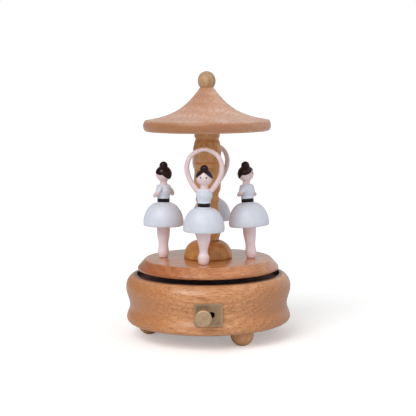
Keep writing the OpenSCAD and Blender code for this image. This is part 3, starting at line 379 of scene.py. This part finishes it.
def paintMaterial(name):
    paint = paints[name]
    material, tree, shader = startMaterial(
        name,
        {
            "Roughness": paint["roughness"], "Coat Weight": paint["coat"],
            "Coat Roughness": paint["coatRoughness"], "Specular IOR Level": paint["specular"],
            "Subsurface Weight": paint["subsurface"], "Subsurface Radius": (1.0, 0.4, 0.25),
            "Subsurface Scale": paintLook["bleed"] * mm,
        },
    )
    place = addNode(tree, "ShaderNodeTexCoord").outputs["Object"]
    patches = addNode(
        tree, "ShaderNodeTexNoise", {},
        {"Vector": place, "Scale": 1 / (paint["patch"] * mm), "Detail": 3.0, "Roughness": 0.6},
    )
    worn = addNode(
        tree, "ShaderNodeMapRange", {},
        {
            "Value": patches.outputs["Fac"], "From Min": paintLook["from"], "From Max": paintLook["to"],
            "To Max": paintLook["share"],
        },
    )
    inputs = {0: worn.outputs[0], 6: linear(paint["base"]), 7: linear(paint["shade"])}
    colour = addNode(tree, "ShaderNodeMix", colourMix, inputs).outputs[2]
    tree.links.new(colour, shader.inputs["Base Color"])
    peel = addNode(
        tree, "ShaderNodeTexNoise", {},
        {"Vector": place, "Scale": 1 / (paintLook["peelSpacing"] * mm), "Detail": 1.0, "Roughness": 0.5},
    )
    bump = addNode(
        tree, "ShaderNodeBump", {},
        {"Strength": paintLook["bump"], "Distance": paint["peel"] * mm, "Height": peel.outputs["Fac"]},
    )
    tree.links.new(bump.outputs["Normal"], shader.inputs["Normal"])
    return material, tree, shader, colour, place


# arms of the two figures at the sides: a painted sleeve down to the elbow, then skin

sleeve = {"hem": 101.5, "blur": 0.15}


def sleevedMaterial():
    material, tree, shader, skin, place = paintMaterial("skinPaint")
    material.name = "sleevedArms"
    height = addNode(tree, "ShaderNodeSeparateXYZ", inputs={"Vector": place})
    cut = addNode(
        tree, "ShaderNodeMapRange", eased,
        {
            "Value": height.outputs["Z"], "From Min": (sleeve["hem"] - sleeve["blur"]) * mm,
            "From Max": (sleeve["hem"] + sleeve["blur"]) * mm,
        },
    )
    inputs = {0: cut.outputs[0], 6: skin, 7: linear(paints["dressPaint"]["base"])}
    dressed = addNode(tree, "ShaderNodeMix", colourMix, inputs)
    tree.links.new(dressed.outputs[2], shader.inputs["Base Color"])
    return material


# metals: what the eye sees first is how each was worked

metals = {
    # cast, plated and rubbed back: a brown bloom in the low places and fine lines along X
    "oldBrass": {
        "base": "#b59a7b", "stainAndShade": "#927656", "lines": (120, 2600, 5200), "patch": 3.5, "metallic": 0.72,
        "roughness": (0.4, 0.56), "depth": 0.012,
        # painted highlight on the raised rim of the plate
        "rim": {"worn": "#c6aa8e", "width": 1.35, "blur": 0.15, "share": 0.75},
    },
    "knobBrass": {
        "base": "#d2b493", "stainAndShade": "#ad8f6d", "lines": (1400, 1400, 1400), "patch": 3.0, "metallic": 0.65,
        "roughness": (0.38, 0.52), "depth": 0.01,
    },
    "brass": {
        "base": "#d9b25e", "stainAndShade": "#b48a3c", "lines": (3200, 3200, 300), "patch": 4.0, "metallic": 1.0,
        "roughness": (0.22, 0.36), "depth": 0.006,
    },
    "steel": {
        "base": "#c3c5c8", "stainAndShade": "#9fa1a4", "lines": (400, 3400, 3400), "patch": 5.0, "metallic": 1.0,
        "roughness": (0.2, 0.34), "depth": 0.005,
    },
    # die cast zinc: dull, with a fine even grain
    "castZinc": {
        "base": "#a9acae", "stainAndShade": "#8c8f91", "lines": (2200, 2200, 2200), "patch": 6.0, "metallic": 0.9,
        "roughness": (0.45, 0.6), "depth": 0.02,
    },
}
# what they share: "from" and "to" are the levels of the noise between which a mask opens
metalLook = {
    "bump": 0.5,
    "bloom": {"from": 0.45, "to": 0.75, "share": 0.8},
    "lines": {"from": 0.5, "to": 0.8, "share": 0.3},
}


# the raised rim of the switch plate is painted lighter: a painted highlight where its edge catches the light
def paintedRimHighlight(tree, place, colour, rim):
    low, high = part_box("switch_plate")
    middle, half = (low + high) / 2, (high - low) / 2
    local = addNode(tree, "ShaderNodeVectorMath", {"operation": "SUBTRACT"}, {0: place, 1: middle})
    mirrored = addNode(tree, "ShaderNodeVectorMath", {"operation": "ABSOLUTE"}, {0: local.outputs["Vector"]})
    axes = addNode(tree, "ShaderNodeSeparateXYZ", inputs={"Vector": mirrored.outputs["Vector"]})
    inside = []
    for axis, reach in (("X", half.x), ("Z", half.z)):
        inputs = {0: reach, 1: axes.outputs[axis]}
        inside.append(addNode(tree, "ShaderNodeMath", {"operation": "SUBTRACT"}, inputs).outputs[0])
    nearest = addNode(tree, "ShaderNodeMath", {"operation": "MINIMUM"}, {0: inside[0], 1: inside[1]})
    mask = addNode(
        tree, "ShaderNodeMapRange", eased,
        {
            "Value": nearest.outputs[0], "From Min": (rim["width"] + rim["blur"]) * mm,
            "From Max": (rim["width"] - rim["blur"]) * mm, "To Max": rim["share"],
        },
    )
    inputs = {0: mask.outputs[0], 6: colour, 7: linear(rim["worn"])}
    return addNode(tree, "ShaderNodeMix", colourMix, inputs).outputs[2]


def metalMaterial(name):
    metal = metals[name]
    material, tree, shader = startMaterial(name, {"Metallic": metal["metallic"]})
    place = addNode(tree, "ShaderNodeTexCoord").outputs["Object"]
    lines = stretchedNoise(tree, place, metal["lines"], 2.0, 0.55).outputs["Fac"]
    bloom = addNode(
        tree, "ShaderNodeTexNoise", {},
        {"Vector": place, "Scale": 1 / (metal["patch"] * mm), "Detail": 4.0, "Roughness": 0.65},
    )
    colour = linear(metal["base"])
    for look, noise in ((metalLook["bloom"], bloom.outputs["Fac"]), (metalLook["lines"], lines)):
        mask = addNode(
            tree, "ShaderNodeMapRange", {},
            {"Value": noise, "From Min": look["from"], "From Max": look["to"], "To Max": look["share"]},
        )
        inputs = {0: mask.outputs[0], 6: colour, 7: linear(metal["stainAndShade"])}
        colour = addNode(tree, "ShaderNodeMix", colourMix, inputs).outputs[2]
    # painted highlight on the raised rim of the plate
    if "rim" in metal:
        colour = paintedRimHighlight(tree, place, colour, metal["rim"])
    tree.links.new(colour, shader.inputs["Base Color"])
    rough = addNode(
        tree, "ShaderNodeMapRange", {},
        {"Value": lines, "To Min": metal["roughness"][0], "To Max": metal["roughness"][1]},
    )
    tree.links.new(rough.outputs[0], shader.inputs["Roughness"])
    bump = addNode(
        tree, "ShaderNodeBump", {},
        {"Strength": metalLook["bump"], "Distance": metal["depth"] * mm, "Height": lines},
    )
    tree.links.new(bump.outputs["Normal"], shader.inputs["Normal"])
    return material


materials = {name: woodMaterial(name) for name in woods}
materials.update({name: paintMaterial(name)[0] for name in paints})
materials.update({name: metalMaterial(name) for name in metals})
materials["sleevedArms"] = sleevedMaterial()
print("materials:", len(materials))


# which finish each piece has; the last word of a figure's piece decides for the figures

nodeFinish = {
    # the deck board's dark colour is painted shade for the gap round the turntable
    "base_ring": "beechBase", "deck_board": "gapShadeBoard", "bottom_cover": "beechRoof",
    "turntable": "beechTable", "roof": "beechRoof", "column_foot": "goldenBeech", "column": "columnBeech",
    "centre_dowel": "paleWood", "finial": "paleWood", "ball_feet": "footWood", "switch_plate": "oldBrass",
    "switch_knob": "knobBrass", "sashes": "sashGloss", "bedplate": "castZinc",
}
for brassPiece in (
    "spring_barrel", "turntable_bush", "cylinder_drum", "cylinder_wheel", "worm_wheel", "fly",
    "cylinder_bearings", "governor_frame", "comb_screws",
):
    nodeFinish[brassPiece] = "brass"
pieceFinish = {
    # the legs take the lighter copy of the skin paint, painted light against the shade under the skirts
    "legs": "litSkinForLegs", "skirt": "dressPaint", "bodice": "dressPaint", "head": "skinPaint",
    "hair": "hairGloss", "arms": "skinPaint",
}


def finishOf(node):
    who, _, piece = node.partition("_")
    if who in figures:
        return "sleevedArms" if piece == "arms" and who in ("right", "left") else pieceFinish[piece]
    return nodeFinish.get(node, "steel")


for name, node in frame["nodes"].items():
    node.data.materials.clear()
    node.data.materials.append(materials[finishOf(name)])


# pieces made here

def addPiece(name, mesh, body, finish):
    piece = bpy.data.objects.new(name, mesh)
    scene.collection.objects.link(piece)
    mesh.materials.clear()
    mesh.materials.append(materials[finish])
    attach(piece, body)
    return piece


smoothing = {"mergeWithin": 0.002, "sharpAngle": 28, "armLevels": 2, "armSwell": 0.07}


# the turned pieces again, with their facets run together, so that gloss flows round them
def smoothCopy(node, rounded=False):
    source = frame["nodes"][node]
    form = bmesh.new()
    form.from_mesh(source.data)
    bmesh.ops.remove_doubles(form, verts=form.verts, dist=smoothing["mergeWithin"] * mm)
    if rounded:
        form.normal_update()
        for vertex in form.verts:
            vertex.co += vertex.normal * (smoothing["armSwell"] * mm)
    mesh = bpy.data.meshes.new("smooth_" + node)
    form.to_mesh(mesh)
    form.free()
    for layer in ("custom_normal", "sharp_face", "sharp_edge"):
        if layer in mesh.attributes:
            mesh.attributes.remove(mesh.attributes[layer])
    mesh.shade_smooth()
    piece = addPiece("smooth_" + node, mesh, source["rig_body"], finishOf(node))
    if rounded:
        rounding = piece.modifiers.new("rounding", "SUBSURF")
        rounding.levels = rounding.render_levels = smoothing["armLevels"]
    else:
        mesh.set_sharp_from_angle(angle=math.radians(smoothing["sharpAngle"]))
    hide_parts(node)


turnedNodes = [
    "base_ring", "turntable", "roof", "column_foot", "column", "finial", "ball_feet", "switch_knob",
]
turnedNodes += [f"{who}_{piece}" for who in figures for piece in ("legs", "skirt", "bodice", "head", "hair")]
for node in turnedNodes:
    smoothCopy(node)
for who in figures:
    smoothCopy(who + "_arms", rounded=True)
print("smooth copies:", len(turnedNodes) + len(figures))


# eyes: two round dabs of black paint on each head

eyes = {
    "radius": 0.59, "dome": 0.3, "lateral": 1.96, "above": 0.45, "sink": 0.05, "segments": 24, "rings": 12,
}
# how each figure stands, as in part.scad, in degrees: its place on the ring, where it looks,
# and how it leans towards the column and sideways
stands = {
    "front": (-5.9, -5, 0, 1), "right": (85, 78, 3.4, 0), "back": (175, 175, 0, 0),
    "left": (265, 248, 0.8, 0),
}


def rotation(axis, degrees):
    return Matrix.Rotation(math.radians(degrees), 3, axis)


def eyeTree():
    tree = bpy.data.node_groups.new("paintedDots", "GeometryNodeTree")
    tree.interface.new_socket("Geometry", in_out="INPUT", socket_type="NodeSocketGeometry")
    for name, value in (("Radius", eyes["radius"] * mm), ("Dome", eyes["dome"])):
        socket = tree.interface.new_socket(name, in_out="INPUT", socket_type="NodeSocketFloat")
        socket.default_value = value
    tree.interface.new_socket("Paint", in_out="INPUT", socket_type="NodeSocketMaterial")
    tree.interface.new_socket("Geometry", in_out="OUTPUT", socket_type="NodeSocketGeometry")
    given = addNode(tree, "NodeGroupInput")
    dot = addNode(
        tree, "GeometryNodeMeshUVSphere",
        inputs={"Segments": eyes["segments"], "Rings": eyes["rings"], "Radius": given.outputs["Radius"]},
    )
    flat = addNode(tree, "ShaderNodeCombineXYZ", inputs={"X": 1.0, "Y": 1.0, "Z": given.outputs["Dome"]})
    squashed = addNode(
        tree, "GeometryNodeTransform", inputs={"Geometry": dot.outputs["Mesh"], "Scale": flat.outputs[0]},
    )
    outward = addNode(
        tree, "GeometryNodeInputNamedAttribute", {"data_type": "FLOAT_VECTOR"}, {"Name": "outward"},
    )
    turn = addNode(
        tree, "FunctionNodeAlignRotationToVector", {"axis": "Z"}, {"Vector": outward.outputs["Attribute"]},
    )
    dots = addNode(
        tree, "GeometryNodeInstanceOnPoints",
        inputs={
            "Points": given.outputs["Geometry"], "Instance": squashed.outputs[0],
            "Rotation": turn.outputs[0],
        },
    )
    made = addNode(tree, "GeometryNodeRealizeInstances", inputs={"Geometry": dots.outputs[0]})
    smooth = addNode(tree, "GeometryNodeSetShadeSmooth", inputs={"Geometry": made.outputs[0]})
    painted = addNode(
        tree, "GeometryNodeSetMaterial",
        inputs={"Geometry": smooth.outputs[0], "Material": given.outputs["Paint"]},
    )
    addNode(tree, "NodeGroupOutput", inputs={"Geometry": painted.outputs[0]})
    return tree


def eyePoints(who):
    low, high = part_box(who + "_head")
    radius = (high.y - low.y) / 2
    middle = Vector(((low.x + high.x) / 2, (low.y + high.y) / 2, high.z - radius))
    place, facing, inwards, sideways = stands[who]
    leaning = rotation("Y", -inwards) @ rotation("X", -sideways)
    turn = rotation("Z", place - 90) @ leaning @ rotation("Z", 90 - place + facing)
    points = []
    for side in (-1, 1):
        out = Vector((side * eyes["lateral"], 0, eyes["above"])) * mm
        out.y = -math.sqrt(radius ** 2 - out.length ** 2)
        out = turn @ out
        points.append((middle + out * (1 - eyes["sink"] * mm / radius), out.normalized()))
    return points


spots = [spot for who in figures for spot in eyePoints(who)]
pointMesh = bpy.data.meshes.new("eyePlaces")
pointMesh.from_pydata([p for p, _ in spots], [], [])
outwardLayer = pointMesh.attributes.new("outward", "FLOAT_VECTOR", "POINT")
for i, (_, direction) in enumerate(spots):
    outwardLayer.data[i].vector = direction
holder = bpy.data.objects.new("eyePlaces", pointMesh)
scene.collection.objects.link(holder)
dotting = holder.modifiers.new("dots", "NODES")
dotting.node_group = eyeTree()
for item in dotting.node_group.interface.items_tree:
    if item.item_type == "SOCKET" and item.in_out == "INPUT" and item.name == "Paint":
        dotting[item.identifier] = materials["eyePaint"]
bpy.context.view_layer.update()
eyeMesh = bpy.data.meshes.new_from_object(holder.evaluated_get(bpy.context.evaluated_depsgraph_get()))
bpy.data.objects.remove(holder)
addPiece("eyes", eyeMesh, "carousel", "eyePaint")
print("eyes:", len(spots))


# camera, floor and light

view = {
    "distance": 831, "height": 185.9, "aside": 0.235, "tiltDown": 6.62, "roll": 0.45,
    "lens": 103.85, "sensor": 36, "nearest": 0.01, "farthest": 50,
}
camera = bpy.data.objects.new("camera", bpy.data.cameras.new("camera"))
scene.collection.objects.link(camera)
camera.data.lens = view["lens"]
camera.data.sensor_width = view["sensor"]
camera.data.clip_start, camera.data.clip_end = view["nearest"], view["farthest"]
camera.matrix_world = (
    Matrix.Translation(Vector((view["aside"], -view["distance"], view["height"])) * mm)
    @ Matrix.Rotation(math.radians(90 - view["tiltDown"]), 4, "X")
    @ Matrix.Rotation(math.radians(-view["roll"]), 4, "Z")
)
scene.camera = camera

table = {"reach": 30, "shown": (1, 1, 1, 1), "lit": (0.82, 0.82, 0.82, 1), "glow": 0.3}
corners = [(x * table["reach"], y * table["reach"], 0) for x, y in ((-1, -1), (1, -1), (1, 1), (-1, 1))]
floorMesh = bpy.data.meshes.new("floor")
floorMesh.from_pydata(corners, [], [(0, 1, 2, 3)])
floor = bpy.data.objects.new("floor", floorMesh)
scene.collection.objects.link(floor)

floorMaterial, tree, shader = startMaterial("whiteTable", {"Roughness": 0.9, "Specular IOR Level": 0.1})
ray = addNode(tree, "ShaderNodeLightPath").outputs
seen = addNode(
    tree, "ShaderNodeMix", colourMix, {0: ray["Is Camera Ray"], 6: table["lit"], 7: table["shown"]},
)
tree.links.new(seen.outputs[2], shader.inputs["Base Color"])
shader.inputs["Emission Color"].default_value = (1, 1, 1, 1)
glow = addNode(tree, "ShaderNodeMath", {"operation": "MULTIPLY"}, {0: ray["Is Camera Ray"], 1: table["glow"]})
tree.links.new(glow.outputs[0], shader.inputs["Emission Strength"])
floorMesh.materials.append(floorMaterial)

# white all round for the eye; gloss sees a white backdrop behind and above, and a dim room in front
world = bpy.data.worlds.new("studio")
scene.world = world
world.use_nodes = True
tree = world.node_tree
tree.nodes.clear()
sky = {
    "ambient": 0.42,
    # the light that gloss sees goes from "start" to "end" along each axis, between two directions
    "behind": {"axis": "Y", "from": -0.6, "to": 0.5, "start": 0.1, "end": 0.66},
    "above": {"axis": "Z", "from": 0.35, "to": 0.85, "start": 0.0, "end": 0.85},
    "sideways": {"axis": "X", "from": -0.7, "to": 0.7, "start": 0.35, "end": 1.3},
}
way = addNode(tree, "ShaderNodeTexCoord")
parts = addNode(tree, "ShaderNodeSeparateXYZ", inputs={"Vector": way.outputs["Generated"]})
wash = {}
for name in ("behind", "above", "sideways"):
    change = sky[name]
    wash[name] = addNode(
        tree, "ShaderNodeMapRange", eased,
        {
            "Value": parts.outputs[change["axis"]], "From Min": change["from"], "From Max": change["to"],
            "To Min": change["start"], "To Max": change["end"],
        },
    ).outputs[0]
brighter = addNode(tree, "ShaderNodeMath", {"operation": "MAXIMUM"}, {0: wash["behind"], 1: wash["above"]})
glossy = addNode(
    tree, "ShaderNodeMath", {"operation": "MULTIPLY"}, {0: brighter.outputs[0], 1: wash["sideways"]},
)
ray = addNode(tree, "ShaderNodeLightPath").outputs
forGloss = addNode(
    tree, "ShaderNodeMix", numberMix, {0: ray["Is Glossy Ray"], 2: sky["ambient"], 3: glossy.outputs[0]},
)
forEye = addNode(tree, "ShaderNodeMix", numberMix, {0: ray["Is Camera Ray"], 2: forGloss.outputs[0], 3: 1.0})
light = addNode(tree, "ShaderNodeBackground", inputs={"Color": (1, 1, 1, 1), "Strength": forEye.outputs[0]})
addNode(tree, "ShaderNodeOutputWorld", inputs={"Surface": light.outputs[0]})

lamps = {
    "keyLight": {"power": 1.45, "spread": 42, "azimuth": -32, "elevation": 44},
    "fillLight": {"power": 0.42, "spread": 70, "azimuth": 40, "elevation": 20},
}
for name, lamp in lamps.items():
    data = bpy.data.lights.new(name, "SUN")
    data.energy = lamp["power"]
    data.angle = math.radians(lamp["spread"])
    sun = bpy.data.objects.new(name, data)
    scene.collection.objects.link(sun)
    a, e = math.radians(lamp["azimuth"]), math.radians(lamp["elevation"])
    toward = Vector((math.sin(a) * math.cos(e), -math.cos(a) * math.cos(e), math.sin(e)))
    sun.rotation_mode = "QUATERNION"
    sun.rotation_quaternion = toward.to_track_quat("Z", "Y")
    sun.location = toward * 0.5

scene.view_settings.view_transform = "Standard"
print("camera, floor and light")
